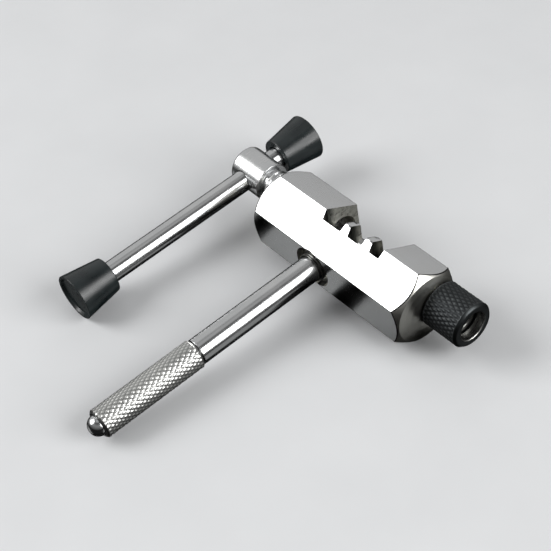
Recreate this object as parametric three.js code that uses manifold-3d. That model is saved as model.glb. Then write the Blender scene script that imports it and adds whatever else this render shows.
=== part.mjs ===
// Bicycle chain tool: a hexagonal steel block with a chain notch, a drive screw turned by a
// sliding tommy bar, a knurled anvil adjuster on the other end and a handle screwed in square.
//
// Millimetres, +Z up. +X runs along the drive screw, from its head towards the adjuster knob.
// The handle points to -Y and the chain notch opens to +Y. The tool lies as it does on a bench:
// the block is rolled a few degrees about X until a rubber cap of the tommy bar touches down.
import * as THREE from "three";
import { mergeVertices } from "three/addons/utils/BufferGeometryUtils.js";
import Module from "manifold-3d";

const wasm = await Module();
wasm.setup();

// ---- Driving dimensions -------------------------------------------------------------------

const ROUND = 36; // sides of a turned piece
const FIT = 0.2; // radial gap between a shaft and its hole
const GAP = 0.3; // gap between two faces that meet

// Block: 17 mm hexagon bar, chamfered on both ends.
const ACROSS_FLATS = 17.0;
const APOTHEM = ACROSS_FLATS / 2;
const HEX_RADIUS = APOTHEM / Math.cos(Math.PI / 6);
const BLOCK_HALF = 24.2;
const FACE_RADIUS = 8.15; // flat end face inside the 45 degree chamfer

// The screw axis lies off the bar's centre, towards the notch.
const SCREW_Y = 3.12;
const THREAD_RADIUS = 3.9;
const BORE_RADIUS = THREAD_RADIUS + FIT;

// Notch: three slots with two ridges between them, cut from the +Y side.
const NOTCH_FLOOR = -1.96;
const NOTCH_LEFT = -6.48;
const NOTCH_RIGHT = 11.78;
const RIDGE_TIP = 2.6;
const FLARE = 0.7; // how far the left wall of each slot leans in at its foot
const RIDGES = [
  { left: -0.15, right: 1.5 },
  { left: 6.4, right: 8.35 },
];
const TIP_CHAMFER = 0.6;

// Handle: a rod screwed into the -Y flat, with a knurled sleeve on its outer end.
const HANDLE_X = -3.54;
const COUNTERBORE_RADIUS = 5.0;
const COUNTERBORE_DEPTH = 1.6;
const STUD_RADIUS = 2.4;
const STUD_START = 3.6; // distances along the handle are from the bar's centre
const ROD_RADIUS = 3.08;
const ROD_END = 41.7;
const SPIGOT_END = 46.5;
const COLLAR_RADIUS = 3.6;
const COLLAR_END = 8.9;
const SLEEVE_RADIUS = 3.45;
const SLEEVE_BORE = 2.65;
const SLEEVE_START = 42.0;
const SLEEVE_END = 68.0;
const PLUG_START = 59.5;
const PLUG_TIP = 70.4;
const PLUG_SOCKET_DEPTH = 6.0;

// Pins: the press pin in the screw and the spare one in the handle are alike.
const PIN_RADIUS = 1.6;
const PIN_HEAD_RADIUS = 2.2;
const PIN_HEAD = 1.8;
const PIN_LENGTH = 18.2;
const PIN_POINT = 0.4;

// Drive screw, as places along X.
const HEAD_START = -40.3;
const HEAD_END = -30.6;
const HEAD_RADIUS = 4.75;
const HEAD_ROUND = 0.9;
const NECK_RADIUS = 3.4;
const NECK_END = -29.7;
const SCREW_TIP = -9.0;
const SOCKET_RADIUS = PIN_HEAD_RADIUS + 0.35;
const SOCKET_DEPTH = 4.0;
const RETAINER_LENGTH = 1.4;

// Tommy bar, through the head. Its ends are distances along -Y from the screw axis.
const BAR_X = -36.4;
const BAR_RADIUS = 2.57;
const CAP_NEAR = 44.3;
const CAP_FAR = -6.44;
const CAP_LENGTH = 9.7;
const CAP_NECK_RADIUS = 4.3;
const CAP_RADIUS = 5.7;
const CAP_BORE_DEPTH = 7.2;
const CAP_DISH_RADIUS = 5.0;
const CAP_DISH_DEPTH = 0.7;

// Anvil adjuster, as places along X.
const KNOB_START = BLOCK_HALF + GAP;
const KNOB_END = 34.4;
const KNOB_RADIUS = 5.46;
const KNOB_CHAMFER = 0.35;
const KNOB_RIM = 0.7;
const KNOB_LIP = 2.4;
const KNOB_HOLE = 3.5;
const SLEEVE_TIP = 11.2;
const ANVIL_HOLE = 1.9;
const BUSH_START = 10.9;
const BUSH_LENGTH = 4.0;
const BUSH_RADIUS = 2.85;

// Roll about X that brings the near cap's rim down to the level of the block's lowest edge.
const CAP_REACH = CAP_NEAR + CAP_LENGTH - SCREW_Y;
const ROLL = Math.atan((HEX_RADIUS - CAP_RADIUS) / CAP_REACH);

// ---- Materials ----------------------------------------------------------------------------

function metal(color, roughness) {
  return new THREE.MeshStandardMaterial({ color, roughness, metalness: 1 });
}

const polishedSteel = metal(0xd3d5d4, 0.16);
const turnedSteel = metal(0xb9bbb8, 0.32);
const knurledSteel = metal(0xc4c6c3, 0.38);
const hardenedSteel = metal(0x8f9192, 0.3);
const blackSteel = metal(0x3c3f41, 0.42);
const blackRubber = new THREE.MeshStandardMaterial({ color: 0x1c1f20, roughness: 0.55 });

// ---- Solids -------------------------------------------------------------------------------

// A closed three.js geometry as a solid that can be joined and cut.
function solid(geometry) {
  geometry.deleteAttribute("normal");
  geometry.deleteAttribute("uv");
  const merged = mergeVertices(geometry, 1e-4);
  const index = merged.index.array;
  const kept = [];
  for (let i = 0; i < index.length; i += 3) {
    const [a, b, c] = [index[i], index[i + 1], index[i + 2]];
    if (a !== b && b !== c && c !== a) kept.push(a, b, c);
  }
  const mesh = new wasm.Mesh({
    numProp: 3,
    vertProperties: new Float32Array(merged.attributes.position.array),
    triVerts: new Uint32Array(kept),
  });
  return new wasm.Manifold(mesh);
}

// A solid back as a geometry for a mesh.
function geometryOf(piece) {
  const mesh = piece.getMesh();
  const geometry = new THREE.BufferGeometry();
  geometry.setAttribute("position", new THREE.BufferAttribute(mesh.vertProperties, 3));
  geometry.setIndex(new THREE.BufferAttribute(mesh.triVerts, 1));
  geometry.computeVertexNormals();
  return geometry;
}

// A turned solid about the X axis. The profile is [distance along X, radius] pairs that run
// towards +X on the outside; it starts and ends on the axis or closes on itself.
function turned(profile, sides = ROUND) {
  const points = profile.map(([along, radius]) => new THREE.Vector2(radius, along));
  return solid(new THREE.LatheGeometry(points, sides).rotateZ(-Math.PI / 2));
}

// A plain round bar along X with chamfered ends.
function bar(start, end, radius, chamfer = 0) {
  if (chamfer === 0) {
    return turned([[start, 0], [start, radius], [end, radius], [end, 0]]);
  }
  return turned([
    [start, 0],
    [start, radius - chamfer],
    [start + chamfer, radius],
    [end - chamfer, radius],
    [end, radius - chamfer],
    [end, 0],
  ]);
}

// A tube along X.
function tube(start, end, outer, inner, chamfer = 0.2) {
  return turned([
    [start, inner],
    [start, outer - chamfer],
    [start + chamfer, outer],
    [end - chamfer, outer],
    [end, outer - chamfer],
    [end, inner],
    [start, inner],
  ]);
}

// An outline in X and Y, cut straight through along Z.
function upright(outline, height) {
  const shape = new THREE.Shape(outline.map(([x, y]) => new THREE.Vector2(x, y)));
  const geometry = new THREE.ExtrudeGeometry(shape, { depth: height, bevelEnabled: false });
  return solid(geometry.translate(0, 0, -height / 2));
}

// ---- Block --------------------------------------------------------------------------------

function hexBar(length) {
  const corners = [];
  for (let i = 0; i < 6; i += 1) {
    const angle = (i * Math.PI) / 3;
    corners.push(new THREE.Vector2(HEX_RADIUS * Math.cos(angle), HEX_RADIUS * Math.sin(angle)));
  }
  const shape = new THREE.Shape(corners);
  const geometry = new THREE.ExtrudeGeometry(shape, { depth: length, bevelEnabled: false });
  return solid(geometry.translate(0, 0, -length / 2).rotateY(Math.PI / 2));
}

// What the cutters take away: the space around the two ridges.
function notch() {
  const outside = 2 * HEX_RADIUS;
  const outline = [
    [NOTCH_LEFT, outside],
    [NOTCH_LEFT, 0],
    [NOTCH_LEFT + FLARE, NOTCH_FLOOR],
  ];
  for (const ridge of RIDGES) {
    outline.push([ridge.left - 0.15, NOTCH_FLOOR]);
    outline.push([ridge.left, RIDGE_TIP - TIP_CHAMFER]);
    outline.push([ridge.left + TIP_CHAMFER, RIDGE_TIP]);
    outline.push([ridge.right, RIDGE_TIP]);
    outline.push([ridge.right, 0]);
    outline.push([ridge.right + FLARE, NOTCH_FLOOR]);
  }
  outline.push([NOTCH_RIGHT, NOTCH_FLOOR]);
  outline.push([NOTCH_RIGHT, outside]);
  return upright(outline, 3 * HEX_RADIUS);
}

function block() {
  const lift = HEX_RADIUS - FACE_RADIUS + 0.5;
  const envelope = turned([
    [-BLOCK_HALF, 0],
    [-BLOCK_HALF, FACE_RADIUS],
    [-BLOCK_HALF + lift, FACE_RADIUS + lift],
    [BLOCK_HALF - lift, FACE_RADIUS + lift],
    [BLOCK_HALF, FACE_RADIUS],
    [BLOCK_HALF, 0],
  ]);
  const past = BLOCK_HALF + 1;
  const bore = bar(-past, past, BORE_RADIUS).translate([0, SCREW_Y, 0]);
  const seat = APOTHEM - COUNTERBORE_DEPTH;
  const handleHole = bar(STUD_START - GAP, seat + 1, STUD_RADIUS + FIT);
  const counterbore = bar(seat, APOTHEM + 1, COUNTERBORE_RADIUS);
  const drilled = handleHole.add(counterbore).rotate([0, 0, -90]).translate([HANDLE_X, 0, 0]);
  return hexBar(2 * BLOCK_HALF).intersect(envelope).subtract(notch()).subtract(bore)
    .subtract(drilled);
}

// ---- Drive screw and its pin --------------------------------------------------------------

function driveScrew() {
  const body = turned([
    [HEAD_START, 0],
    [HEAD_START, HEAD_RADIUS - HEAD_ROUND],
    [HEAD_START + 0.3 * HEAD_ROUND, HEAD_RADIUS - 0.3 * HEAD_ROUND],
    [HEAD_START + HEAD_ROUND, HEAD_RADIUS],
    [HEAD_END - 0.3, HEAD_RADIUS],
    [HEAD_END, HEAD_RADIUS - 0.3],
    [HEAD_END, NECK_RADIUS],
    [NECK_END, NECK_RADIUS],
    [NECK_END + 0.5, THREAD_RADIUS],
    [SCREW_TIP - 0.5, THREAD_RADIUS],
    [SCREW_TIP, THREAD_RADIUS - 0.5],
    [SCREW_TIP, SOCKET_RADIUS],
    [SCREW_TIP - SOCKET_DEPTH, SOCKET_RADIUS],
    [SCREW_TIP - SOCKET_DEPTH, 0],
  ]);
  const past = HEAD_RADIUS + 1;
  const crossHole = bar(-past, past, BAR_RADIUS + FIT).rotate([0, 0, 90]);
  return body.subtract(crossHole.translate([BAR_X, 0, 0]));
}

// The headed pin, lying along X with its head's back at the origin.
function headedPin() {
  return turned([
    [0, 0],
    [0, PIN_HEAD_RADIUS],
    [PIN_HEAD, PIN_HEAD_RADIUS],
    [PIN_HEAD, PIN_RADIUS],
    [PIN_LENGTH - PIN_POINT, PIN_RADIUS],
    [PIN_LENGTH, PIN_RADIUS - PIN_POINT],
    [PIN_LENGTH, 0],
  ]);
}

// ---- Tommy bar ----------------------------------------------------------------------------

// A rubber cap along X: its neck at the origin, its flared end at CAP_LENGTH.
function rubberCap() {
  return turned([
    [CAP_BORE_DEPTH, 0],
    [CAP_BORE_DEPTH, BAR_RADIUS + FIT],
    [0, BAR_RADIUS + FIT],
    [0, CAP_NECK_RADIUS - 0.4],
    [0.4, CAP_NECK_RADIUS],
    [CAP_LENGTH - 0.4, CAP_RADIUS],
    [CAP_LENGTH, CAP_RADIUS - 0.3],
    [CAP_LENGTH, CAP_DISH_RADIUS],
    [CAP_LENGTH - CAP_DISH_DEPTH, CAP_DISH_RADIUS - 0.4],
    [CAP_LENGTH - CAP_DISH_DEPTH, 0],
  ]);
}

function tommyBar() {
  const inside = CAP_BORE_DEPTH - GAP;
  return bar(CAP_FAR - inside, CAP_NEAR + inside, BAR_RADIUS, 0.4);
}

// ---- Anvil adjuster -----------------------------------------------------------------------

function anvilSleeve() {
  const end = KNOB_END - KNOB_LIP - GAP;
  const socketEnd = BUSH_START + BUSH_LENGTH + GAP;
  return turned([
    [socketEnd, ANVIL_HOLE],
    [socketEnd, BUSH_RADIUS + FIT],
    [SLEEVE_TIP, BUSH_RADIUS + FIT],
    [SLEEVE_TIP, THREAD_RADIUS - 0.4],
    [SLEEVE_TIP + 0.4, THREAD_RADIUS],
    [end - 0.4, THREAD_RADIUS],
    [end, THREAD_RADIUS - 0.4],
    [end, ANVIL_HOLE],
    [socketEnd, ANVIL_HOLE],
  ]);
}

function adjusterKnob() {
  return turned([
    [KNOB_START, THREAD_RADIUS + FIT],
    [KNOB_START, KNOB_RADIUS - KNOB_CHAMFER],
    [KNOB_START + KNOB_CHAMFER, KNOB_RADIUS],
    [KNOB_END - KNOB_RIM, KNOB_RADIUS],
    [KNOB_END, KNOB_RADIUS - KNOB_RIM],
    [KNOB_END, KNOB_HOLE],
    [KNOB_END - KNOB_LIP, KNOB_HOLE],
    [KNOB_END - KNOB_LIP, THREAD_RADIUS + FIT],
    [KNOB_START, THREAD_RADIUS + FIT],
  ]);
}

// ---- Handle -------------------------------------------------------------------------------

const ROD_SHOULDER = APOTHEM - COUNTERBORE_DEPTH + GAP;

function handleRod() {
  return turned([
    [STUD_START, 0],
    [STUD_START, STUD_RADIUS - 0.4],
    [STUD_START + 0.4, STUD_RADIUS],
    [ROD_SHOULDER, STUD_RADIUS],
    [ROD_SHOULDER, ROD_RADIUS],
    [ROD_END, ROD_RADIUS],
    [ROD_END, STUD_RADIUS],
    [SPIGOT_END - 0.4, STUD_RADIUS],
    [SPIGOT_END, STUD_RADIUS - 0.4],
    [SPIGOT_END, 0],
  ]);
}

// The domed plug: a socket for the spare pin at its inner end, half an ellipse at its outer end.
function gripPlug() {
  const radius = SLEEVE_BORE - FIT;
  const dome = [];
  const steps = 6;
  for (let i = 0; i <= steps; i += 1) {
    const angle = (i / steps) * (Math.PI / 2);
    const reach = (PLUG_TIP - SLEEVE_END) * Math.sin(angle);
    dome.push([SLEEVE_END + reach, i === steps ? 0 : radius * Math.cos(angle)]);
  }
  const socket = PIN_RADIUS + FIT;
  return turned([
    [PLUG_START + PLUG_SOCKET_DEPTH, 0],
    [PLUG_START + PLUG_SOCKET_DEPTH, socket],
    [PLUG_START, socket],
    [PLUG_START, radius],
    ...dome,
  ]);
}

// ---- Assembly -----------------------------------------------------------------------------

const tool = new THREE.Group();
tool.rotation.x = ROLL;

function place(parent, name, piece, material) {
  const mesh = new THREE.Mesh(geometryOf(piece), material);
  mesh.name = name;
  parent.add(mesh);
  return mesh;
}

// Screw line: everything that is centred on the drive screw's axis.
const screwLine = new THREE.Group();
screwLine.position.set(0, SCREW_Y, 0);
tool.add(screwLine);

// Tommy bar line: local +X points along the tool's -Y.
const barLine = new THREE.Group();
barLine.position.set(BAR_X, SCREW_Y, 0);
barLine.rotation.z = -Math.PI / 2;
tool.add(barLine);

// Handle line: local +X points along the tool's -Y, from the centre of the block.
const handleLine = new THREE.Group();
handleLine.position.set(HANDLE_X, 0, 0);
handleLine.rotation.z = -Math.PI / 2;
tool.add(handleLine);

place(tool, "block", block(), polishedSteel);

const pinBack = SCREW_TIP - SOCKET_DEPTH + GAP;
const retainerStart = pinBack + PIN_HEAD + GAP;
place(screwLine, "drive_screw", driveScrew(), polishedSteel);
place(screwLine, "press_pin", headedPin(), hardenedSteel).position.x = pinBack;
place(
  screwLine,
  "pin_retainer",
  tube(retainerStart, retainerStart + RETAINER_LENGTH, SOCKET_RADIUS - 0.15, PIN_RADIUS + FIT),
  turnedSteel,
);

place(barLine, "tommy_bar", tommyBar(), polishedSteel);
place(barLine, "bar_cap_near", rubberCap(), blackRubber).position.x = CAP_NEAR;
const farCap = place(barLine, "bar_cap_far", rubberCap(), blackRubber);
farCap.position.x = CAP_FAR;
farCap.rotation.z = Math.PI;

place(screwLine, "adjuster_knob", adjusterKnob(), blackSteel);
place(screwLine, "anvil_sleeve", anvilSleeve(), turnedSteel);
place(
  screwLine,
  "anvil_bush",
  tube(BUSH_START, BUSH_START + BUSH_LENGTH, BUSH_RADIUS, ANVIL_HOLE),
  hardenedSteel,
);

place(handleLine, "handle_rod", handleRod(), polishedSteel);
place(
  handleLine,
  "handle_collar",
  tube(ROD_SHOULDER, COLLAR_END, COLLAR_RADIUS, ROD_RADIUS + FIT, 0.15),
  turnedSteel,
);
place(
  handleLine,
  "grip_sleeve",
  tube(SLEEVE_START, SLEEVE_END, SLEEVE_RADIUS, SLEEVE_BORE, 0.5),
  knurledSteel,
);
place(handleLine, "grip_plug", gripPlug(), polishedSteel);
const sparePinBack = PLUG_START + PLUG_SOCKET_DEPTH - GAP - PIN_LENGTH;
place(handleLine, "spare_pin", headedPin(), hardenedSteel).position.x = sparePinBack;

// Stand the tool on z = 0 with the middle of its footprint at the origin.
tool.updateMatrixWorld(true);
const extent = new THREE.Box3().setFromObject(tool, true);
const middle = extent.getCenter(new THREE.Vector3());
tool.position.set(-middle.x, -middle.y, -extent.min.z);

export default tool;
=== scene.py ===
"""Looks of the chain tool: turned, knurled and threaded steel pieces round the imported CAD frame.

Sizes are in millimetres, and MM makes them Blender's metres. The tool's own axes are those of
the CAD: +X along the drive screw from its head to the adjuster knob, the handle along -Y.
"""

import math

import bmesh
import bpy
import numpy as np
from mathutils import Matrix, Vector


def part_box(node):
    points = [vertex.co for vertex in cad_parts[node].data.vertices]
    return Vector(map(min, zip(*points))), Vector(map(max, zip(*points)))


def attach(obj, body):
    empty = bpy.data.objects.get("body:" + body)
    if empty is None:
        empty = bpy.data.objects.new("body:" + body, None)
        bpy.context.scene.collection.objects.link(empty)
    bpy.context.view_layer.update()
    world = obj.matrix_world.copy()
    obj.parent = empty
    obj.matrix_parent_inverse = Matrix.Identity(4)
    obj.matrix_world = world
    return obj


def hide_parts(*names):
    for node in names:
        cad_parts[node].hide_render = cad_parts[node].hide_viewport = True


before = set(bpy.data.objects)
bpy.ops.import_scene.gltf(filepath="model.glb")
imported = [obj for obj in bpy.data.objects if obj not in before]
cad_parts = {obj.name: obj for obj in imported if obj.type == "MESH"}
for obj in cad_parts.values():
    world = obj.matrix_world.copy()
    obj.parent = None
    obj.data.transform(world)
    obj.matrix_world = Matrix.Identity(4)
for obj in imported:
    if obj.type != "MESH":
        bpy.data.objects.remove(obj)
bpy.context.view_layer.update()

MM = 0.001

# ---- Sizes, in millimetres, as in the CAD ----------------------------------------------------

FIT = 0.2  # radial gap between a shaft and its hole
GAP = 0.3  # gap between two faces that meet

APOTHEM = 8.5
HEX_RADIUS = APOTHEM / math.cos(math.radians(30))
BLOCK_HALF = 24.2
FACE_RADIUS = 8.15
SCREW_Y = 3.12
THREAD_RADIUS = 3.9
BORE_RADIUS = THREAD_RADIUS + FIT

NOTCH_FLOOR = -1.96
NOTCH_LEFT = -6.48
NOTCH_RIGHT = 11.78
RIDGE_TIP = 2.6
FLARE = 0.7  # how far the left wall of each slot leans in at its foot
TIP_CHAMFER = 0.6
RIDGES = [(-0.15, 1.5), (6.4, 8.35)]

HANDLE_X = -3.54
COUNTERBORE_RADIUS = 5.0
COUNTERBORE_DEPTH = 1.6
STUD_RADIUS = 2.4
STUD_START = 3.6
ROD_SHOULDER = APOTHEM - COUNTERBORE_DEPTH + GAP
ROD_RADIUS = 3.08
ROD_END = 41.7
SPIGOT_END = 46.5
COLLAR_BORE = ROD_RADIUS + FIT
COLLAR_RADIUS = 3.6
COLLAR_END = 8.9
SLEEVE_RADIUS = 3.45
SLEEVE_BORE = 2.65
SLEEVE_START = 42.0
SLEEVE_END = 68.0
PLUG_START = 59.5
PLUG_TIP = 70.4
PLUG_RADIUS = SLEEVE_BORE - FIT
PLUG_SOCKET_DEPTH = 6.0
SPARE_BACK = 47.0

PIN_RADIUS = 1.6
PIN_HEAD_RADIUS = 2.2
PIN_HEAD = 1.8
PIN_LENGTH = 18.2
PIN_POINT = 0.4
PIN_BACK = -12.7

HEAD_START = -40.3
HEAD_END = -30.6
HEAD_RADIUS = 4.75
NECK_RADIUS = 3.4
NECK_END = -29.7
SCREW_TIP = -9.0
SOCKET_RADIUS = PIN_HEAD_RADIUS + 0.35
SOCKET_DEPTH = 4.0
RETAINER_START = -10.6
RETAINER_END = -9.2

BAR_X = -36.4
BAR_RADIUS = 2.57
BAR_START = -13.34
BAR_END = 51.2
CROSS_HOLE_RADIUS = BAR_RADIUS + FIT
CAP_NEAR = 44.3
CAP_FAR = -6.44
CAP_LENGTH = 9.7
CAP_NECK_RADIUS = 4.3
CAP_RADIUS = 5.7
CAP_BORE_DEPTH = 7.2
CAP_DISH_RADIUS = 5.0
CAP_DISH_DEPTH = 0.7

KNOB_START = BLOCK_HALF + GAP
KNOB_END = 34.4
KNOB_RADIUS = 5.46
KNOB_RIM = 0.7
KNOB_LIP = 2.4
KNOB_HOLE = 3.5
SLEEVE_TIP = 11.2
ANVIL_END = 31.7
ANVIL_HOLE = 1.9
BUSH_START = 10.9
BUSH_LENGTH = 4.0
BUSH_RADIUS = 2.85

SCREW_PITCH = 1.25
ANVIL_PITCH = 1.0
PLUG_PITCH = 0.7

# ---- Details that only the visual model has, in millimetres ----------------------------------

ROUND = 96  # sides of a plain turned piece
CROWN = 0.4  # how far each end face stands up in its middle
CROWN_FLAT = 5.0  # radius of its flat middle
CROWN_SHOULDER = 6.7  # radius where it bends down towards the rim
HEX_EDGE = 0.28  # radius of the bar's six long edges
BLOCK_EDGE = 0.16  # bevel of the block's sharp edges
OVERCUT = 1.0  # how far a cutter passes the face that it cuts

SCREW_THREAD_DEPTH = 0.7
ANVIL_THREAD_DEPTH = 0.55
PLUG_THREAD_DEPTH = 0.3
COLLAR_PITCH = 0.7
COLLAR_THREAD_DEPTH = 0.18
THREAD_ROOT = THREAD_RADIUS - 0.6  # the turned ends of the two big threads

KNOB_CHAMFER = 0.4
KNOB_KNURL_DEPTH = 0.2
KNOB_KNURL_STARTS = 32
KNOB_KNURL_PITCH = 2.1
GRIP_KNURL_DEPTH = 0.15
GRIP_KNURL_STARTS = 22
GRIP_KNURL_PITCH = 1.68

# How many stations a turned piece has in one pitch of its thread or knurl.
THREAD_STATIONS = 10
PLUG_STATIONS = 8
KNOB_STATIONS = 19
GRIP_STATIONS = 16

# ---- The tool's own axes in the row frame ----------------------------------------------------

CAP_REACH = CAP_NEAR + CAP_LENGTH - SCREW_Y
ROLL = math.atan((HEX_RADIUS - CAP_RADIUS) / CAP_REACH)
block_low, block_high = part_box("block")
TOOL = Matrix.Translation((block_low + block_high) / 2) @ Matrix.Rotation(ROLL, 4, "X")


def line(origin, heading):
    """A line of the tool: local +X runs along heading from origin, in millimetres."""
    along = Vector(heading).normalized()
    side = Vector((0, 0, 1)).cross(along)
    axes = Matrix((along, side, along.cross(side))).transposed().to_4x4()
    return TOOL @ Matrix.Translation(Vector(origin) * MM) @ axes


SCREW_LINE = line((0, SCREW_Y, 0), (1, 0, 0))
BAR_LINE = line((BAR_X, SCREW_Y, 0), (0, -1, 0))
HANDLE_LINE = line((HANDLE_X, 0, 0), (0, -1, 0))

# ---- Meshes ----------------------------------------------------------------------------------


def rounded(points, steps=3):
    """A profile with its corners rounded: points are (along, radius, corner) in millimetres."""
    out = []
    for i, (along, radius, corner) in enumerate(points):
        here = Vector((along, radius))
        if corner <= 0:
            out.append(tuple(here))
            continue
        before = Vector(points[i - 1][:2]) - here
        after = Vector(points[(i + 1) % len(points)][:2]) - here
        half = before.angle(after) / 2
        reach = min(corner / math.tan(half), 0.45 * before.length, 0.45 * after.length)
        start = here + before.normalized() * reach
        end = here + after.normalized() * reach
        for step in range(steps + 1):
            t = step / steps
            point = start * (1 - t) ** 2 + here * 2 * t * (1 - t) + end * t**2
            out.append(tuple(point))
    return out


def stations(radius, start, end, step):
    """A cylinder's profile from start to end, in steps short enough to carry a thread or knurl."""
    count = round((end - start) / step)
    return [(start + (end - start) * i / count, radius) for i in range(count + 1)]


def mesh_object(name, vertices, faces):
    """A mesh in the scene from points in metres."""
    mesh = bpy.data.meshes.new(name)
    mesh.from_pydata(vertices, [], faces)
    mesh.validate()
    made = bpy.data.objects.new(name, mesh)
    bpy.context.scene.collection.objects.link(made)
    return made


def skin(name, rings, closed=False):
    """A surface over rings of points in millimetres; a ring of one point is a pole."""
    vertices, index = [], []
    for ring in rings:
        index.append(range(len(vertices), len(vertices) + len(ring)))
        vertices += [tuple(v * MM for v in point) for point in ring]
    pairs = list(zip(index, index[1:]))
    if closed:
        pairs.append((index[-1], index[0]))
    faces = []
    for near, far in pairs:
        sides = max(len(near), len(far))
        for i in range(sides):
            j = (i + 1) % sides
            if len(near) == 1:
                faces.append((near[0], far[j], far[i]))
            elif len(far) == 1:
                faces.append((near[i], near[j], far[0]))
            else:
                faces.append((near[i], near[j], far[j], far[i]))
    return mesh_object(name, vertices, faces)


def turned(name, profile, sides=ROUND, relief=None, closed=False):
    """A turned solid about local X. A radius of 0 is a point on the axis. relief(along, radius,
    angles) gives the radii round one station, for knurls and threads."""
    angles = np.arange(sides) * 2 * math.pi / sides
    rings = []
    for along, radius in profile:
        if radius < 1e-6:
            rings.append([(along, 0.0, 0.0)])
            continue
        radii = np.full(sides, radius) if relief is None else relief(along, radius, angles)
        rings.append([(along, r * math.cos(a), r * math.sin(a)) for r, a in zip(radii, angles)])
    return skin(name, rings, closed)


def extruded(name, outline, height):
    """An outline in X and Y pushed along Z, half to each side."""
    count = len(outline)
    rings = [[(x, y, z) for x, y in outline] for z in (-height / 2, height / 2)]
    vertices = [tuple(v * MM for v in point) for ring in rings for point in ring]
    faces = [tuple(reversed(range(count))), tuple(range(count, 2 * count))]
    for i in range(count):
        j = (i + 1) % count
        faces.append((i, j, j + count, i + count))
    return mesh_object(name, vertices, faces)


def apply_modifiers(piece):
    """Puts what the modifiers make into the mesh, and drops them."""
    graph = bpy.context.evaluated_depsgraph_get()
    graph.update()
    mesh = bpy.data.meshes.new_from_object(piece.evaluated_get(graph))
    piece.modifiers.clear()
    piece.data = mesh


def cut(piece, cutters):
    """Cuts each cutter from piece and removes it. Places set just before are brought up to date."""
    bpy.context.view_layer.update()
    for cutter in cutters:
        change = piece.modifiers.new("cut", "BOOLEAN")
        change.operation = "DIFFERENCE"
        change.solver = "EXACT"
        change.object = cutter
        apply_modifiers(piece)
        bpy.data.objects.remove(cutter)


def clean(piece):
    """Merges points that a cut left almost on each other."""
    nearly_touching = 0.002 * MM
    work = bmesh.new()
    work.from_mesh(piece.data)
    bmesh.ops.remove_doubles(work, verts=work.verts, dist=nearly_touching)
    bmesh.ops.dissolve_degenerate(work, edges=work.edges, dist=nearly_touching)
    bmesh.ops.recalc_face_normals(work, faces=work.faces)
    work.to_mesh(piece.data)
    work.free()


def break_edges(piece, width):
    """Rounds every edge where the surface turns by more than 32 degrees."""
    bevel = piece.modifiers.new("broken edges", "BEVEL")
    bevel.width = width * MM
    bevel.segments = 2
    bevel.limit_method = "ANGLE"
    bevel.angle_limit = math.radians(32)
    bevel.use_clamp_overlap = False
    bevel.miter_outer = "MITER_ARC"
    apply_modifiers(piece)


def shade(piece, angle):
    """Smooth shading with flat faces kept flat. Edges that turn by more than angle degrees stay
    sharp."""
    piece.data.shade_smooth()
    piece.data.set_sharp_from_angle(angle=math.radians(angle))
    weight = piece.modifiers.new("flat faces stay flat", "WEIGHTED_NORMAL")
    weight.keep_sharp = True
    weight.weight = 100


def finish_piece(piece, place, body, replaced, angle=40):
    """Puts a piece in place on its body, with its finish and the CAD nodes it stands for."""
    piece.matrix_world = place
    shade(piece, angle)
    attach(piece, body)
    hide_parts(*replaced)


# ---- Reliefs: threads and knurls -------------------------------------------------------------


def wave(turns):
    """A triangle wave: 1 at whole numbers, 0 half way between."""
    return np.abs(2 * (turns - np.floor(turns)) - 1)


def thread_relief(pitch, depth, start, end, lead=0.6):
    """A right-hand thread between start and end, whose crests rise over lead at both ends."""
    crest, flanks = 0.15, 0.6

    def relief(along, radius, angles):
        if not start <= along <= end:
            return np.full(len(angles), radius)
        slope = wave(along / pitch - angles / (2 * math.pi))
        groove = np.clip((slope - crest) / flanks, 0, 1)
        rise = max(0.0, min(1.0, (along - start) / lead, (end - along) / lead))
        return radius - depth * (1 - (1 - groove) * rise)

    return relief


def knurl_relief(crest_radius, depth, starts, pitch, start, end):
    """Crossed helical grooves that leave blunt diamonds between start and end, on the outside
    of the piece only."""
    crest, lead = 0.12, 0.25

    def relief(along, radius, angles):
        if not start <= along <= end or abs(radius - crest_radius) > 1e-6:
            return np.full(len(angles), radius)
        turns = angles * starts / (2 * math.pi)
        grooves = np.maximum(wave(turns + along / pitch), wave(turns - along / pitch))
        groove = np.clip((grooves - crest) / (1 - crest), 0, 1)
        sink = max(0.0, min(1.0, (along - start) / lead, (end - along) / lead))
        return radius - depth * groove * sink

    return relief


# ---- Materials -------------------------------------------------------------------------------


def node(tree, kind, props=None, values=(), **inputs):
    """A shader node. values fill its inputs in order, inputs by name; a socket is linked."""
    made = tree.nodes.new("ShaderNode" + kind)
    for key, value in (props or {}).items():
        setattr(made, key, value)
    pairs = list(zip(made.inputs, values))
    pairs += [(made.inputs[key.replace("_", " ")], value) for key, value in inputs.items()]
    for socket, value in pairs:
        if isinstance(value, bpy.types.NodeSocket):
            tree.links.new(value, socket)
        else:
            socket.default_value = value
    return made


def ramp(tree, factor, stops):
    """A colour ramp with stops of (position, grey or (r, g, b))."""
    made = node(tree, "ValToRGB", Fac=factor)
    elements = made.color_ramp.elements
    while len(elements) < len(stops):
        elements.new(0.5)
    for element, (position, color) in zip(elements, stops):
        color = (color,) * 3 if isinstance(color, (int, float)) else color
        element.position = position
        element.color = (*color, 1)
    return made.outputs["Color"]


def scaled_noise(tree, scale, detail=3.0, stretch=(1, 1, 1), roughness=0.5):
    """Noise over the piece's own coordinates, in features per metre, stretched by axis."""
    place = node(tree, "TexCoord").outputs["Object"]
    mapped = node(tree, "Mapping", Vector=place, Scale=stretch).outputs["Vector"]
    made = node(
        tree, "TexNoise", Vector=mapped, Scale=scale, Detail=detail, Roughness=roughness
    )
    return made.outputs["Fac"]


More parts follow.
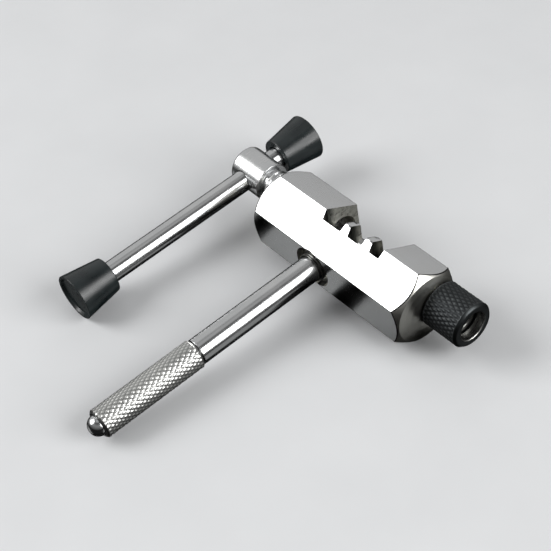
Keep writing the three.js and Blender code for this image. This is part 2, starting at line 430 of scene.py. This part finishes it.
def new_material(name, kind="BsdfPrincipled"):
    """An empty material with one shader on its surface."""
    material = bpy.data.materials.new(name)
    material.use_nodes = True
    tree = material.node_tree
    tree.nodes.clear()
    shader = node(tree, kind)
    node(tree, "OutputMaterial", Surface=shader.outputs["BSDF"])
    return material, tree, shader


def link(tree, shader, name, socket):
    """Feeds a shader's input from another node's socket."""
    tree.links.new(socket, shader.inputs[name])


def blend(tree, factor, low, high):
    """low where factor is 0 and high where it is 1; each a colour or a socket."""
    color_a, color_b, color_out = 6, 7, 2
    mixed = node(tree, "Mix", {"data_type": "RGBA"}, values=(factor,))
    for place, value in ((color_a, low), (color_b, high)):
        if isinstance(value, tuple):
            mixed.inputs[place].default_value = (*value, 1)
        else:
            tree.links.new(value, mixed.inputs[place])
    return mixed.outputs[color_out]


def distance_ramp(tree, axes, low, high):
    """0 at low to 1 at high, both in millimetres from the piece's origin along the given axes."""
    place = node(tree, "TexCoord").outputs["Object"]
    masked = node(tree, "VectorMath", {"operation": "MULTIPLY"}, values=(place, axes))
    length = node(
        tree, "VectorMath", {"operation": "LENGTH"}, values=(masked.outputs["Vector"],)
    ).outputs["Value"]
    return node(tree, "MapRange", Value=length, From_Min=low * MM, From_Max=high * MM).outputs[0]


def bump(tree, shader, height, strength, depth):
    """Relief from a height socket; depth is in millimetres."""
    relief = node(tree, "Bump", Strength=strength, Distance=depth * MM, Height=height)
    link(tree, shader, "Normal", relief.outputs["Normal"])


def worn_metal(name, dark, light, rough, marks, marks_scale, marks_bump, valley_shade=None):
    """Metal with soft smudges and fine machining marks. marks stretches the marks by axis, and the
    last argument (tone, low and high radius) paints shade into a knurl: it darkens what lies below
    the crests."""
    material, tree, shader = new_material(name)
    smudge = scaled_noise(tree, 160, 4.0)
    lines = scaled_noise(tree, marks_scale, 2.0, marks)
    color = ramp(tree, smudge, [(0.3, dark), (0.7, light)])
    if valley_shade:
        tone, low, high = valley_shade
        color = blend(tree, distance_ramp(tree, (0, 1, 1), low, high), tone, color)
    link(tree, shader, "Base Color", color)
    shader.inputs["Metallic"].default_value = 1.0
    grain = node(
        tree, "Math", {"operation": "MULTIPLY_ADD"}, values=(lines, 0.35, smudge)
    ).outputs[0]
    spread = node(
        tree,
        "MapRange",
        Value=grain,
        From_Min=0.45,
        From_Max=0.95,
        To_Min=rough[0],
        To_Max=rough[1],
    ).outputs[0]
    link(tree, shader, "Roughness", spread)
    bump(tree, shader, lines, marks_bump, 0.02)
    return material


def milled_steel():
    """Coarse end-mill marks on the notch walls: mottled tone and uneven gloss, with painted shade
    that is darkest half way down the ridges."""
    material, tree, shader = new_material("milled_steel")
    mottle = scaled_noise(tree, 900, 5.0, roughness=0.7)
    marks = scaled_noise(tree, 700, 3.0, (1, 0.25, 4))
    tone = node(
        tree, "Math", {"operation": "MULTIPLY_ADD"}, values=(marks, 0.5, mottle)
    ).outputs[0]
    dull, worn, bright = (0.36, 0.36, 0.32), (0.72, 0.71, 0.63), (0.95, 0.94, 0.86)
    color = ramp(tree, tone, [(0.55, dull), (0.72, worn), (0.9, bright)])
    # Painted shade in the notch's pockets: the walls fade to dark grey from 2.2 mm to 0.6 mm off the
    # bar's middle plane.
    painted_pocket_shade = distance_ramp(tree, (0, 1, 0), 2.2, 0.6)
    link(tree, shader, "Base Color", blend(tree, painted_pocket_shade, color, (0.12, 0.125, 0.11)))
    shader.inputs["Metallic"].default_value = 1.0
    link(tree, shader, "Roughness", ramp(tree, tone, [(0.4, 0.20), (0.9, 0.36)]))
    bump(tree, shader, tone, 0.5, 0.06)
    return material


def cap_rubber():
    """Near-black rubber with a fine grain, a faint dusty bloom and scuffs that change its gloss."""
    material, tree, shader = new_material("cap_rubber")
    bloom = scaled_noise(tree, 240, 4.0)
    grain = scaled_noise(tree, 5200, 2.0)
    color = ramp(tree, bloom, [(0.35, (0.008, 0.012, 0.013)), (0.7, (0.017, 0.024, 0.025))])
    link(tree, shader, "Base Color", color)
    scuffs = scaled_noise(tree, 130, 4.0, (1, 6, 6))
    link(tree, shader, "Roughness", ramp(tree, scuffs, [(0.3, 0.22), (0.7, 0.38)]))
    shader.inputs["IOR"].default_value = 1.6
    bump(tree, shader, grain, 0.18, 0.03)
    return material


def knob_black():
    """Black-oxide steel whose knurl crests are rubbed to grey."""
    material, tree, shader = new_material("knob_black")
    patch = scaled_noise(tree, 420, 4.0)
    grain = scaled_noise(tree, 6000, 2.0)
    rubbed = ramp(tree, patch, [(0.3, (0.066, 0.072, 0.074)), (0.7, (0.098, 0.105, 0.107))])
    root = KNOB_RADIUS - KNOB_KNURL_DEPTH
    crest = distance_ramp(tree, (0, 1, 1), root, KNOB_RADIUS - 0.02)
    link(tree, shader, "Base Color", blend(tree, crest, (0.022, 0.024, 0.026), rubbed))
    shader.inputs["Metallic"].default_value = 0.85
    link(tree, shader, "Roughness", ramp(tree, patch, [(0.3, 0.44), (0.7, 0.56)]))
    bump(tree, shader, grain, 0.15, 0.03)
    return material


NICKEL = ((0.72, 0.73, 0.735), (0.80, 0.805, 0.805))
POLISHED_ROD = (*NICKEL, (0.16, 0.26), (2, 40, 40), 60, 0.02)
# Painted shade in the grip's knurl: grey below the crests, in the valleys.
GRIP_VALLEY_SHADE = ((0.34, 0.345, 0.335), SLEEVE_RADIUS - GRIP_KNURL_DEPTH, SLEEVE_RADIUS - 0.05)

# What worn_metal takes after the name: the darkest and lightest colour, the least and most roughness,
# the marks' stretch, scale and bump, and for a knurl the painted shade of its valleys.
METALS = {
    "block_steel": (*NICKEL, (0.13, 0.22), (3, 60, 60), 60, 0.02),
    "screw_steel": (*NICKEL, (0.22, 0.31), (90, 2, 2), 40, 0.03),
    "bar_steel": POLISHED_ROD,
    "handle_steel": POLISHED_ROD,
    "face_steel": ((0.60, 0.595, 0.55), (0.80, 0.79, 0.74), (0.30, 0.42), (1, 1, 1), 1400, 0.10),
    "turned_steel": ((0.60, 0.60, 0.58), (0.74, 0.74, 0.71), (0.20, 0.34), (110, 2, 2), 40, 0.10),
    # Painted shade: dark steel for the collar in the handle's counterbore and the sleeve's end deep
    # in the knob's hole.
    "painted_shade_steel": ((0.09, 0.09, 0.085), (0.20, 0.20, 0.19), (0.22, 0.36), (60, 2, 2), 40, 0.06),
    "pin_steel": ((0.36, 0.36, 0.36), (0.50, 0.50, 0.49), (0.18, 0.30), (100, 2, 2), 40, 0.06),
    # Painted reflection: near-black steel for the dark line along the rounded edges at the block's
    # ends.
    "painted_dark_edge_steel": ((0.015, 0.015, 0.015), (0.035, 0.035, 0.033), (0.30, 0.44), (1, 1, 1), 2400, 0.05),
    "oxide_plain": ((0.055, 0.060, 0.062), (0.085, 0.092, 0.094), (0.34, 0.46), (60, 2, 2), 40, 0.08),
    "knurl_steel": (
        (0.86, 0.865, 0.84), (0.94, 0.94, 0.91), (0.30, 0.40), (1, 1, 1), 2400, 0.10, GRIP_VALLEY_SHADE
    ),
}
MATERIALS = {name: worn_metal(name, *finish) for name, finish in METALS.items()}
MATERIALS["milled_steel"] = milled_steel()
MATERIALS["knob_black"] = knob_black()
MATERIALS["cap_rubber"] = cap_rubber()


def painted(piece, *names):
    """Gives a piece its materials; its faces have the first one until they are told otherwise."""
    for name in names:
        piece.data.materials.append(MATERIALS[name])
    return piece


# ---- Block -----------------------------------------------------------------------------------


def hexagon_section():
    """(angle, radius) round the bar's section from +Y, with its six corners rounded."""
    per_flat, per_corner = 24, 5
    half_flat = (APOTHEM - HEX_EDGE) * math.tan(math.radians(30))
    corner_at = (APOTHEM - HEX_EDGE) / math.cos(math.radians(30))
    section = []
    for side in range(6):
        turn = math.radians(60 * side)
        for i in range(per_flat + 1):
            offset = half_flat * (2 * i / per_flat - 1)
            section.append((turn + math.atan2(offset, APOTHEM), math.hypot(APOTHEM, offset)))
        for i in range(1, per_corner):
            bend = math.radians(60 * i / per_corner - 30)
            reach = corner_at + HEX_EDGE * math.cos(bend)
            across = HEX_EDGE * math.sin(bend)
            angle = turn + math.radians(30) + math.atan2(across, reach)
            section.append((angle, math.hypot(reach, across)))
    return section


def chamfered_bar():
    """The hexagon bar with crowned end faces and both ends turned to a 45 degree cone."""
    rim = BLOCK_HALF - CROWN
    profiles = []
    for angle, radius in hexagon_section():
        cone = rim - (radius - FACE_RADIUS)
        profile = rounded(
            [
                (-BLOCK_HALF, 0, 0),
                (-BLOCK_HALF, CROWN_FLAT, 0),
                (-rim, FACE_RADIUS, 0.2),
                (-cone, radius, 0.4),
                (cone, radius, 0.4),
                (rim, FACE_RADIUS, 0.2),
                (BLOCK_HALF - 0.3 * CROWN, CROWN_SHOULDER, 0.8),
                (BLOCK_HALF, CROWN_FLAT, 0.8),
                (BLOCK_HALF, 0, 0),
            ]
        )
        profiles.append([(x, r * math.cos(angle), r * math.sin(angle)) for x, r in profile])
    rings = [list(ring) for ring in zip(*profiles)]
    rings[0], rings[-1] = rings[0][:1], rings[-1][:1]
    return skin("block_body", rings)


def notch_outline():
    """The chain notch in the bar's X and Y: three slots with the two ridges between them. Each
    ridge is chamfered at its upper left corner."""
    outside = 2 * HEX_RADIUS
    outline = [
        (NOTCH_LEFT, outside),
        (NOTCH_LEFT, 0),
        (NOTCH_LEFT + FLARE, NOTCH_FLOOR),
    ]
    for left, right in RIDGES:
        outline += [
            (left - 0.15, NOTCH_FLOOR),
            (left, RIDGE_TIP - TIP_CHAMFER),
            (left + TIP_CHAMFER, RIDGE_TIP),
            (right, RIDGE_TIP),
            (right, 0),
            (right + FLARE, NOTCH_FLOOR),
        ]
    outline += [(NOTCH_RIGHT, NOTCH_FLOOR), (NOTCH_RIGHT, outside)]
    return outline


def block():
    """The bar with its notch, the bore along it and the drilled seat of the handle."""
    piece = chamfered_bar()
    past = BLOCK_HALF + OVERCUT
    bore = turned("bore", [(-past, 0), (-past, BORE_RADIUS), (past, BORE_RADIUS), (past, 0)])
    bore.matrix_world = Matrix.Translation((0, SCREW_Y * MM, 0))
    seat = APOTHEM - COUNTERBORE_DEPTH
    drill = turned(
        "drill",
        [
            (STUD_START - GAP, 0),
            (STUD_START - GAP, STUD_RADIUS + FIT),
            (seat, STUD_RADIUS + FIT),
            (seat, COUNTERBORE_RADIUS),
            (APOTHEM + OVERCUT, COUNTERBORE_RADIUS),
            (APOTHEM + OVERCUT, 0),
        ],
    )
    drill.matrix_world = TOOL.inverted() @ HANDLE_LINE
    notch = extruded("notch", notch_outline(), 3 * HEX_RADIUS)
    cut(piece, [notch, bore, drill])
    clean(piece)
    paint_block(piece)
    break_edges(piece, BLOCK_EDGE)
    finish_piece(piece, TOOL, "frame", ["block"], angle=30)


def paint_block(piece):
    """Polished flats, milled notch walls, turned ends and bores, and a dark line painted on the
    rounded edge between a flat and the cone at its end, as a painted reflection. The cone's slant is
    0.71."""
    painted(piece, "block_steel", "milled_steel", "face_steel", "painted_dark_edge_steel")
    flat, milled, turned_end, painted_dark_edge = range(4)
    least_slant, cone_slant, near = 0.1, 0.62, 0.1
    sin60 = math.sin(math.radians(60))
    for face in piece.data.polygons:
        x, y, z = face.center / MM
        across = max(abs(y), abs(0.5 * y + sin60 * z), abs(0.5 * y - sin60 * z))
        slant = abs(face.normal.x)
        if across > APOTHEM - 0.02 and slant < least_slant:
            face.material_index = flat
        elif NOTCH_LEFT - near < x < NOTCH_RIGHT + near and y > NOTCH_FLOOR - near:
            face.material_index = milled
        # Painted reflection: the rounded edge between a flat and its end cone is painted near-black.
        elif math.hypot(y, z) > FACE_RADIUS + 0.2 and least_slant < slant < cone_slant:
            face.material_index = painted_dark_edge
        elif slant > cone_slant or across < APOTHEM - near:
            face.material_index = turned_end


# ---- Drive screw and press pin ---------------------------------------------------------------


def drive_screw():
    """A round head with a cross hole, a threaded shank and a socket for the pin in its tip."""
    head = rounded(
        [
            (HEAD_START, 0, 0),
            (HEAD_START, HEAD_RADIUS, 0.75),
            (HEAD_END, HEAD_RADIUS, 0.25),
            (HEAD_END, NECK_RADIUS, 0),
        ],
        steps=5,
    )
    neck = [(NECK_END - 0.3, NECK_RADIUS - 0.2)]
    thread_end = SCREW_TIP - 0.5
    threads = stations(THREAD_RADIUS, NECK_END, thread_end, SCREW_PITCH / THREAD_STATIONS)
    tip = [
        (SCREW_TIP, THREAD_ROOT),
        (SCREW_TIP, SOCKET_RADIUS),
        (SCREW_TIP - SOCKET_DEPTH, SOCKET_RADIUS),
        (SCREW_TIP - SOCKET_DEPTH, 0),
    ]
    relief = thread_relief(SCREW_PITCH, SCREW_THREAD_DEPTH, NECK_END, thread_end)
    piece = turned("screw_body", head + neck + threads + tip, relief=relief)
    past = 2 * HEAD_RADIUS
    hole_profile = [(-past, 0), (-past, CROSS_HOLE_RADIUS), (past, CROSS_HOLE_RADIUS), (past, 0)]
    hole = turned("cross_hole", hole_profile, sides=64)
    hole.matrix_world = SCREW_LINE.inverted() @ BAR_LINE
    cut(piece, [hole])
    painted(piece, "screw_steel")
    finish_piece(piece, SCREW_LINE, "screw", ["drive_screw"], angle=35)


def headed_pin(name, back, place, body, replaced):
    """A ground pin whose head begins at back, in millimetres along the line in place."""
    profile = rounded(
        [
            (0, 0, 0),
            (0, PIN_HEAD_RADIUS, 0.15),
            (PIN_HEAD, PIN_HEAD_RADIUS, 0.15),
            (PIN_HEAD, PIN_RADIUS, 0.08),
            (PIN_LENGTH - PIN_POINT, PIN_RADIUS, 0.1),
            (PIN_LENGTH, PIN_RADIUS - PIN_POINT, 0.08),
            (PIN_LENGTH, 0, 0),
        ]
    )
    piece = turned(name, [(along + back, radius) for along, radius in profile], sides=64)
    painted(piece, "pin_steel")
    finish_piece(piece, place, body, [replaced])


def pin_retainer():
    """The gland ring round the press pin, behind the mouth of the screw's socket."""
    inner, outer = PIN_RADIUS + FIT, SOCKET_RADIUS - 0.15
    profile = rounded(
        [
            (RETAINER_START, inner, 0.08),
            (RETAINER_START, outer, 0.12),
            (RETAINER_END, outer, 0.2),
            (RETAINER_END, inner, 0.2),
        ]
    )
    piece = painted(turned("pin_gland", profile, closed=True), "turned_steel")
    finish_piece(piece, SCREW_LINE, "screw", ["pin_retainer"])


# ---- Tommy bar -------------------------------------------------------------------------------


def tommy_bar():
    """The plain polished bar through the screw's head."""
    profile = rounded(
        [
            (BAR_START, 0, 0),
            (BAR_START, BAR_RADIUS, 0.4),
            (BAR_END, BAR_RADIUS, 0.4),
            (BAR_END, 0, 0),
        ],
        steps=4,
    )
    piece = painted(turned("bar_rod", profile), "bar_steel")
    finish_piece(piece, BAR_LINE, "bar", ["tommy_bar"])


def rubber_cap(name, start, outward, replaced):
    """A flared moulded cap whose neck is at start on the bar. Its dished wide end points along
    the bar for an outward of 1 and back for -1."""
    profile = rounded(
        [
            (CAP_BORE_DEPTH, 0, 0),
            (CAP_BORE_DEPTH, CROSS_HOLE_RADIUS, 0.3),
            (0, CROSS_HOLE_RADIUS, 0.15),
            (0, CAP_NECK_RADIUS, 0.3),
            (CAP_LENGTH, CAP_RADIUS, 0.2),
            (CAP_LENGTH, CAP_DISH_RADIUS, 0.15),
            (CAP_LENGTH - CAP_DISH_DEPTH, CAP_DISH_RADIUS - 0.5, 0.3),
            (CAP_LENGTH - CAP_DISH_DEPTH - 0.1, 0, 0),
        ],
        steps=5,
    )
    piece = painted(turned(name, profile), "cap_rubber")
    turn = Matrix.Identity(4) if outward > 0 else Matrix.Rotation(math.pi, 4, "Z")
    place = BAR_LINE @ Matrix.Translation((start * MM, 0, 0)) @ turn
    finish_piece(piece, place, "bar", [replaced])


# ---- Anvil adjuster --------------------------------------------------------------------------


def adjuster_knob():
    """The knurled nut: chamfered at the block's end, with a plain sloping rim at the other."""
    start, end = KNOB_START + KNOB_CHAMFER, KNOB_END - KNOB_RIM
    sides = 8 * KNOB_KNURL_STARTS
    outer = (
        [(KNOB_START, KNOB_RADIUS - KNOB_CHAMFER), (KNOB_START + 0.1, KNOB_RADIUS - 0.3)]
        + stations(KNOB_RADIUS, start, end, KNOB_KNURL_PITCH / KNOB_STATIONS)
        + [(end + 0.1, KNOB_RADIUS - 0.03), (KNOB_END - 0.12, KNOB_RADIUS - 0.42)]
        + [(KNOB_END - 0.02, KNOB_RADIUS - 0.52)]
    )
    inner = rounded(
        [
            (KNOB_END, KNOB_RADIUS - 0.6, 0.03),
            (KNOB_END, KNOB_HOLE, 0.3),
            (KNOB_END - KNOB_LIP, KNOB_HOLE, 0.1),
            (KNOB_END - KNOB_LIP, THREAD_RADIUS + FIT, 0),
            (KNOB_START, THREAD_RADIUS + FIT, 0.15),
        ],
        steps=4,
    )
    relief = knurl_relief(
        KNOB_RADIUS, KNOB_KNURL_DEPTH, KNOB_KNURL_STARTS, KNOB_KNURL_PITCH, start, end
    )
    piece = turned("knob_grip", outer + inner, sides=sides, relief=relief, closed=True)
    painted(piece, "knob_black", "pin_steel", "oxide_plain", "turned_steel")
    bore, plain, lip = 1, 2, 3
    for face in piece.data.polygons:
        along, across, up = face.center / MM
        radius = math.hypot(across, up)
        if radius < KNOB_HOLE + 0.02:
            face.material_index = bore
        elif radius < KNOB_HOLE + 0.22:
            face.material_index = lip
        elif not start <= along <= end:
            face.material_index = plain
    finish_piece(piece, SCREW_LINE, "adjuster", ["adjuster_knob"], angle=60)


def anvil_sleeve():
    """The hollow threaded sleeve in the knob, with a socket for the bush in its nose."""
    socket_end = BUSH_START + BUSH_LENGTH + GAP
    thread_start, thread_end = SLEEVE_TIP + 0.4, ANVIL_END - 0.4
    profile = (
        [
            (socket_end, ANVIL_HOLE),
            (socket_end, BUSH_RADIUS + FIT),
            (SLEEVE_TIP, BUSH_RADIUS + FIT),
            (SLEEVE_TIP, THREAD_ROOT),
        ]
        + stations(THREAD_RADIUS, thread_start, thread_end, ANVIL_PITCH / THREAD_STATIONS)
        + rounded(
            [
                (ANVIL_END, THREAD_ROOT, 0.1),
                (ANVIL_END, ANVIL_HOLE + 0.25, 0.1),
                (ANVIL_END - 0.3, ANVIL_HOLE, 0.1),
            ]
        )
    )
    relief = thread_relief(ANVIL_PITCH, ANVIL_THREAD_DEPTH, thread_start, thread_end)
    piece = turned("anvil_thread", profile, relief=relief, closed=True)
    painted(piece, "turned_steel", "painted_shade_steel")
    # Painted shade: the sleeve's outer end, deep in the knob's hole, is painted dark.
    shaded_outer_end = 1
    for face in piece.data.polygons:
        if face.center.x > (ANVIL_END - 0.35) * MM:
            face.material_index = shaded_outer_end
    finish_piece(piece, SCREW_LINE, "adjuster", ["anvil_sleeve"], angle=35)


def anvil_bush():
    """The hardened ring in the nose of the sleeve, which the driven rivet passes into."""
    end = BUSH_START + BUSH_LENGTH
    profile = rounded(
        [
            (BUSH_START, ANVIL_HOLE, 0.25),
            (BUSH_START, BUSH_RADIUS, 0.2),
            (end, BUSH_RADIUS, 0.15),
            (end, ANVIL_HOLE, 0.1),
        ]
    )
    piece = painted(turned("anvil_ring", profile, closed=True), "pin_steel")
    finish_piece(piece, SCREW_LINE, "bush", ["anvil_bush"])


# ---- Handle ----------------------------------------------------------------------------------


def handle_rod():
    """The polished rod, with a stud screwed into the block and a spigot inside the grip."""
    profile = rounded(
        [
            (STUD_START, 0, 0),
            (STUD_START, STUD_RADIUS, 0.4),
            (ROD_SHOULDER, STUD_RADIUS, 0.1),
            (ROD_SHOULDER, ROD_RADIUS, 0.1),
            (ROD_END, ROD_RADIUS, 0.15),
            (ROD_END, STUD_RADIUS, 0.1),
            (SPIGOT_END, STUD_RADIUS, 0.4),
            (SPIGOT_END, 0, 0),
        ],
        steps=4,
    )
    piece = painted(turned("handle_shaft", profile), "handle_steel")
    finish_piece(piece, HANDLE_LINE, "frame", ["handle_rod"])


def handle_collar():
    """The threaded nose of the handle, in the counterbore and painted dark as the shade there, seen
    as dark rings.
    """
    thread_start, thread_end = ROD_SHOULDER + 0.05, COLLAR_END - 0.35
    profile = (
        [(ROD_SHOULDER, COLLAR_BORE), (ROD_SHOULDER, COLLAR_RADIUS - COLLAR_THREAD_DEPTH)]
        + stations(COLLAR_RADIUS, thread_start, thread_end, COLLAR_PITCH / THREAD_STATIONS)
        + [
            (COLLAR_END - 0.1, COLLAR_RADIUS - 0.1),
            (COLLAR_END, COLLAR_RADIUS - 0.16),
            (COLLAR_END, COLLAR_BORE + 0.05),
            (COLLAR_END - 0.05, COLLAR_BORE),
        ]
    )
    relief = thread_relief(
        COLLAR_PITCH, COLLAR_THREAD_DEPTH, thread_start, thread_end, lead=0.2
    )
    piece = turned("collar_thread", profile, relief=relief, closed=True)
    painted(piece, "painted_shade_steel")
    finish_piece(piece, HANDLE_LINE, "frame", ["handle_collar"], angle=35)


def grip_sleeve():
    """The knurled tube on the rod, which the end plug screws into."""
    start, end = SLEEVE_START + 0.35, SLEEVE_END - 0.45
    outer = (
        [(SLEEVE_START, SLEEVE_RADIUS - 0.45), (SLEEVE_START + 0.15, SLEEVE_RADIUS - 0.25)]
        + stations(SLEEVE_RADIUS, start, end, GRIP_KNURL_PITCH / GRIP_STATIONS)
        + [(SLEEVE_END - 0.1, SLEEVE_RADIUS - 0.36)]
    )
    inner = [
        (SLEEVE_END, SLEEVE_RADIUS - 0.46),
        (SLEEVE_END, SLEEVE_BORE + 0.12),
        (SLEEVE_END - 0.12, SLEEVE_BORE),
        (SLEEVE_START, SLEEVE_BORE),
    ]
    relief = knurl_relief(
        SLEEVE_RADIUS, GRIP_KNURL_DEPTH, GRIP_KNURL_STARTS, GRIP_KNURL_PITCH, start, end
    )
    piece = turned("grip_knurl", outer + inner, sides=2 * ROUND, relief=relief, closed=True)
    painted(piece, "knurl_steel")
    finish_piece(piece, HANDLE_LINE, "frame", ["grip_sleeve"], angle=60)


def grip_plug():
    """The domed plug, polished outside and threaded where it sits in the sleeve."""
    height = PLUG_TIP - SLEEVE_END
    steps = 24
    dome = []
    for i in range(steps + 1):
        angle = math.radians(90 * i / steps)
        radius = PLUG_RADIUS * math.cos(angle) if i < steps else 0
        dome.append((SLEEVE_END + height * math.sin(angle), radius))
    socket = PIN_RADIUS + FIT
    thread_start, thread_end = PLUG_START + 0.3, SLEEVE_END - 0.6
    profile = (
        [
            (PLUG_START + PLUG_SOCKET_DEPTH, 0),
            (PLUG_START + PLUG_SOCKET_DEPTH, socket),
            (PLUG_START, socket),
            (PLUG_START, PLUG_RADIUS - PLUG_THREAD_DEPTH),
        ]
        + stations(PLUG_RADIUS, thread_start, thread_end, PLUG_PITCH / PLUG_STATIONS)
        + [(thread_end + 0.1, PLUG_RADIUS)]
        + dome
    )
    relief = thread_relief(PLUG_PITCH, PLUG_THREAD_DEPTH, thread_start, thread_end, lead=0.3)
    piece = painted(turned("plug_dome", profile, relief=relief), "handle_steel")
    finish_piece(piece, HANDLE_LINE, "plug", ["grip_plug"], angle=35)


# ---- Stage: floor, world, lights and camera --------------------------------------------------

# Tones by the height of a direction, from -1 straight down to 1 straight up: towards the pale
# wall behind the tool, and away from it.
WALL_DIRECTION = (-0.9, 0.45, 0.0)
WALL_SIDE = [
    (-1.0, 0.09), (-0.25, 0.20), (0.0, 0.47), (0.1, 0.52), (0.3, 0.50),
    (0.6, 0.49), (0.9, 0.52), (0.97, 0.38), (1.0, 0.40),
]
DARK_SIDE = [
    (-1.0, 0.03), (-0.2, 0.03), (0.0, 0.06), (0.2, 0.12), (0.6, 0.25),
    (0.86, 0.07), (0.93, 0.07), (0.96, 0.42), (1.0, 0.44),
]


def studio_world():
    """A soft studio: pale where it is seen, a plain gradient where it is reflected."""
    world = bpy.data.worlds.new("studio")
    bpy.context.scene.world = world
    world.use_nodes = True
    tree = world.node_tree
    tree.nodes.clear()
    ray = node(tree, "TexCoord").outputs["Generated"]
    split = node(tree, "SeparateXYZ", Vector=ray)
    height = node(
        tree, "MapRange", Value=split.outputs["Z"], From_Min=-1.0, From_Max=1.0
    ).outputs[0]
    toward = node(
        tree, "VectorMath", {"operation": "DOT_PRODUCT"}, values=(ray, WALL_DIRECTION)
    ).outputs["Value"]
    side = node(
        tree,
        "MapRange",
        {"interpolation_type": "SMOOTHSTEP"},
        Value=toward,
        From_Min=0.12,
        From_Max=0.6,
    ).outputs[0]
    dark = ramp(tree, height, [((z + 1) / 2, tone) for z, tone in DARK_SIDE])
    pale = ramp(tree, height, [((z + 1) / 2, tone) for z, tone in WALL_SIDE])
    reflected = blend(tree, side, dark, pale)
    is_camera = node(tree, "LightPath").outputs["Is Camera Ray"]
    seen = blend(tree, is_camera, reflected, (0.74, 0.75, 0.76))
    background = node(tree, "Background", Color=seen)
    node(tree, "OutputWorld", Surface=background.outputs["Background"])


def level_plane(name, below):
    """A large level square of the stage, below the tool by a distance in millimetres."""
    half = 4.0  # metres
    corners = [(-half, -half, 0), (half, -half, 0), (half, half, 0), (-half, half, 0)]
    plane = mesh_object(name, corners, [(0, 1, 2, 3)])
    plane.location.z = -below * MM
    return plane


def pale_floor():
    """The plain floor that the camera sees."""
    floor = level_plane("floor", below=0.05)
    material, tree, shader = new_material("floor_paint")
    tone = scaled_noise(tree, 40, 3.0)
    color = ramp(tree, tone, [(0.3, (0.76, 0.77, 0.78)), (0.7, (0.79, 0.80, 0.81))])
    link(tree, shader, "Base Color", color)
    shader.inputs["Roughness"].default_value = 0.8
    floor.data.materials.append(material)
    floor.visible_glossy = False


def dark_table():
    """What polished metal mirrors in place of the pale floor: a dark glossy table top."""
    table = level_plane("table_reflection", below=0.1)
    material, tree, shader = new_material("table_gloss", "BsdfAnisotropic")
    tone = scaled_noise(tree, 30, 3.0)
    color = ramp(tree, tone, [(0.3, (0.052, 0.053, 0.053)), (0.7, (0.062, 0.063, 0.063))])
    link(tree, shader, "Color", color)
    shader.inputs["Roughness"].default_value = 0.12
    table.data.materials.append(material)
    table.visible_camera = False
    table.visible_diffuse = False
    table.visible_shadow = False
    table.visible_transmission = False


def direction(azimuth, elevation):
    """The unit vector towards an azimuth and elevation in degrees."""
    az, el = math.radians(azimuth), math.radians(elevation)
    return Vector((math.cos(az) * math.cos(el), math.sin(az) * math.cos(el), math.sin(el)))


def softbox(name, azimuth, elevation, width, height, radiance):
    """A rectangular light that faces the tool; width and height are angles in degrees."""
    distance = 0.9  # metres
    away = direction(azimuth, elevation)
    light = bpy.data.lights.new(name, "AREA")
    light.shape = "RECTANGLE"
    light.size = 2 * distance * math.tan(math.radians(width / 2))
    light.size_y = 2 * distance * math.tan(math.radians(height / 2))
    light.energy = radiance * math.pi * light.size * light.size_y
    made = bpy.data.objects.new(name, light)
    made.location = away * distance
    made.rotation_euler = away.to_track_quat("Z", "Y").to_euler()
    made.visible_camera = False
    bpy.context.scene.collection.objects.link(made)


def lights():
    """Two softboxes, which the polished metal mirrors as its white patches."""
    softbox("softbox_front_left", azimuth=-133, elevation=38, width=32, height=34, radiance=5.5)
    softbox("softbox_right", azimuth=23, elevation=31, width=40, height=38, radiance=4.5)


# The camera's place as seen from the point of the table that it aims at, in degrees and
# millimetres. A negative roll turns it clockwise.
CAMERA_AIM = (-10.89, 14.82, 0)
CAMERA_AZIMUTH = -36.443
CAMERA_ELEVATION = 44.306
CAMERA_ROLL = -5.766
CAMERA_DISTANCE = 342.2
CAMERA_LENS = 97.6


def camera():
    """The photograph's view, through a long lens."""
    data = bpy.data.cameras.new("camera")
    data.lens = CAMERA_LENS
    data.sensor_width = 36
    data.clip_start = 0.01
    made = bpy.data.objects.new("camera", data)
    back = direction(CAMERA_AZIMUTH, CAMERA_ELEVATION)
    aim = back.to_track_quat("Z", "Y").to_matrix().to_4x4()
    roll = Matrix.Rotation(math.radians(CAMERA_ROLL), 4, "Z")
    place = Matrix.Translation((Vector(CAMERA_AIM) + back * CAMERA_DISTANCE) * MM)
    made.matrix_world = place @ aim @ roll
    bpy.context.scene.collection.objects.link(made)
    bpy.context.scene.camera = made


bpy.context.scene.view_settings.view_transform = "Standard"
camera()
studio_world()
pale_floor()
dark_table()
lights()

block()
drive_screw()
headed_pin("press_pin_ground", PIN_BACK, SCREW_LINE, "pin", "press_pin")
pin_retainer()
tommy_bar()
rubber_cap("cap_near", CAP_NEAR, outward=1, replaced="bar_cap_near")
rubber_cap("cap_far", CAP_FAR, outward=-1, replaced="bar_cap_far")
adjuster_knob()
anvil_sleeve()
anvil_bush()
handle_rod()
handle_collar()
grip_sleeve()
grip_plug()
headed_pin("spare_pin_ground", SPARE_BACK, HANDLE_LINE, "spare", "spare_pin")
